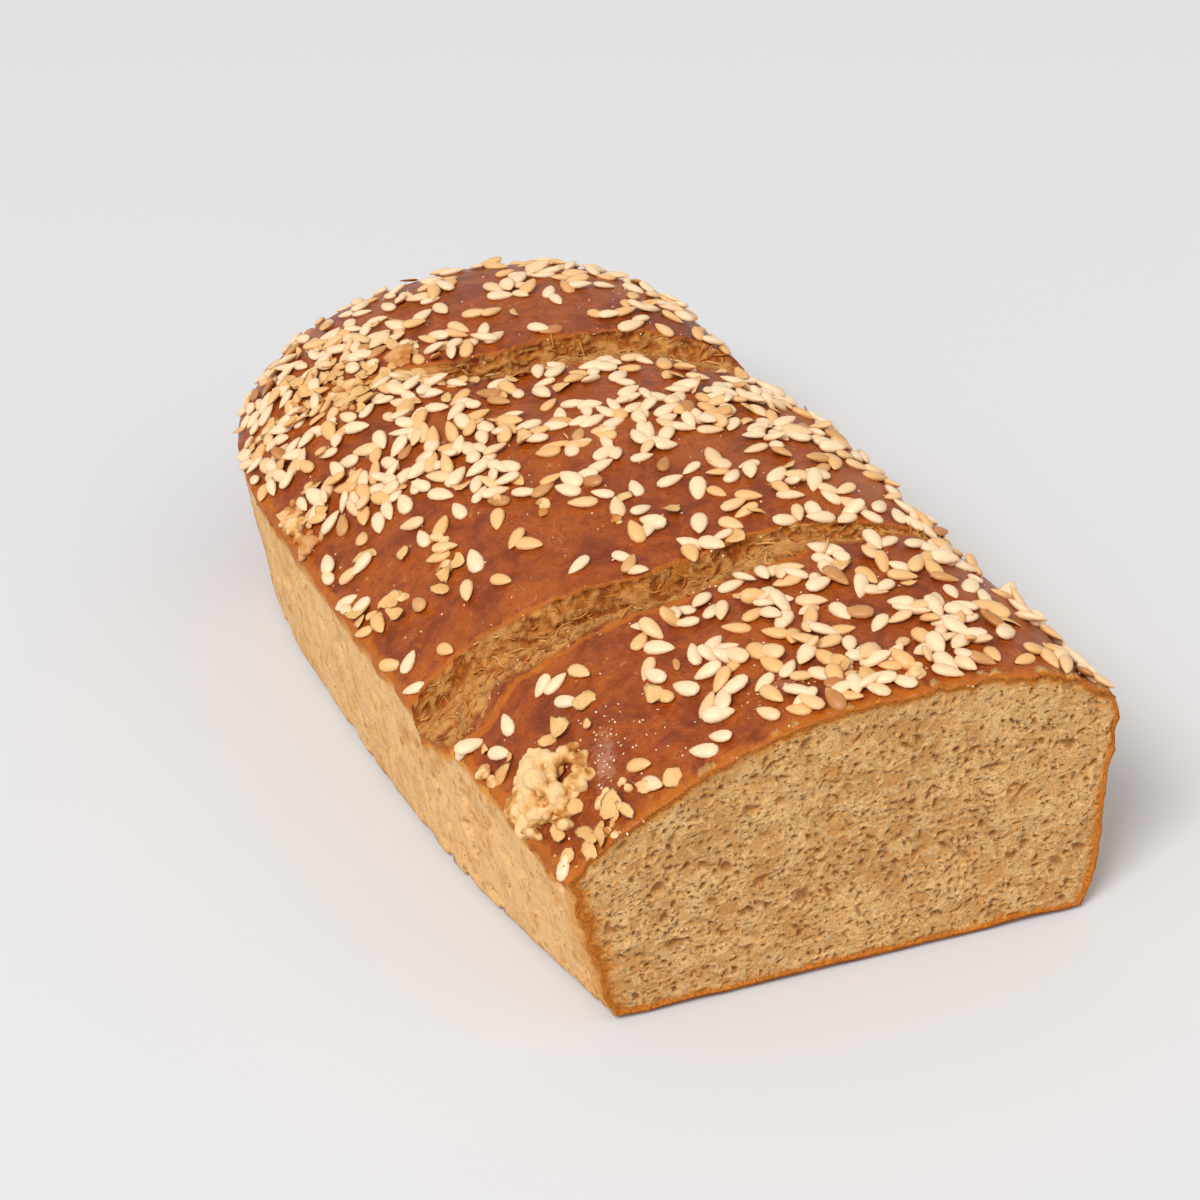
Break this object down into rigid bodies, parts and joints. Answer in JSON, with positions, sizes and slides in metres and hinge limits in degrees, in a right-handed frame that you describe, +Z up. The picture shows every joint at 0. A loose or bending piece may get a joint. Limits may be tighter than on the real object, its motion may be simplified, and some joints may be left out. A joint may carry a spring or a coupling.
{
  "type": "half sesame bread loaf",
  "caption": "Half of an oblong bread loaf with a rounded end, two slashes and a seeded crust, cut straight through at the front to show the crumb.",
  "frame": {"origin": "on the flat base, under the middle of the bounding box", "axes": "+Y along the loaf from the cut to the rounded end, +X to the right seen from the cut, +Z up"},
  "size_m": [0.0717, 0.1578, 0.0391],
  "materials": {
    "crust": "baked reddish-brown crust, satin, darker and lighter in patches, orange-gold along its edges",
    "crumb": "light tan open bread crumb with small pores, matt",
    "sesame": "hulled sesame seeds, cream to golden, softly glossy",
    "topping": "golden flaky crumbs of topping and dustings of flour, matt"
  },
  "bodies": {
    "root": {"loaf": "crust"}
  },
  "joints": []
}
